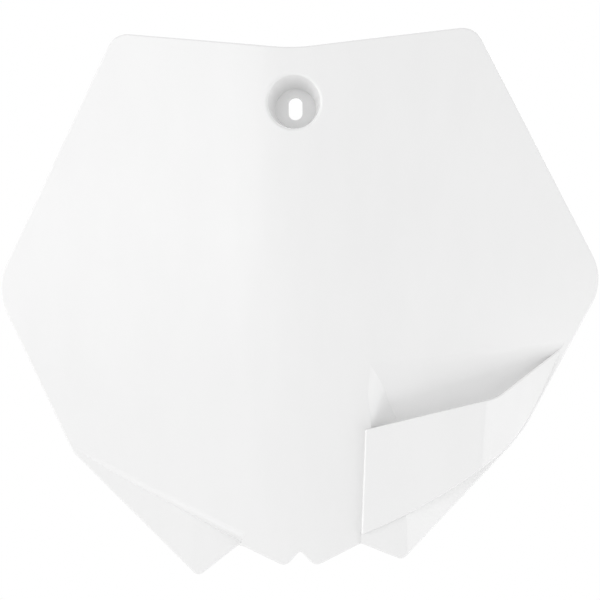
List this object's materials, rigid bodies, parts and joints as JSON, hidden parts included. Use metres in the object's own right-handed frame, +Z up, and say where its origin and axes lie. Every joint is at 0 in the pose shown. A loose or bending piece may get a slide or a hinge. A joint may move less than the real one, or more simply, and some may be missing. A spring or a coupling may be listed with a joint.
{
  "type": "racing number board",
  "caption": "Shield-shaped moulded front number board for a motocross bike, with a recessed slot for its screw at the top and a pocket that guides a hose at a lower corner.",
  "frame": {"origin": "middle of the screw slot, on the rear seat of the cup's boss", "axes": "Y along the screw, with the front facing -Y; +Z up; +X to the right for someone who looks at the front"},
  "size_m": [0.2821, 0.0456, 0.2516],
  "materials": {
    "moulded_plastic": "white polypropylene straight from the mould, smooth with a soft sheen"
  },
  "bodies": {
    "root": {"number_board": "moulded_plastic"}
  },
  "joints": []
}
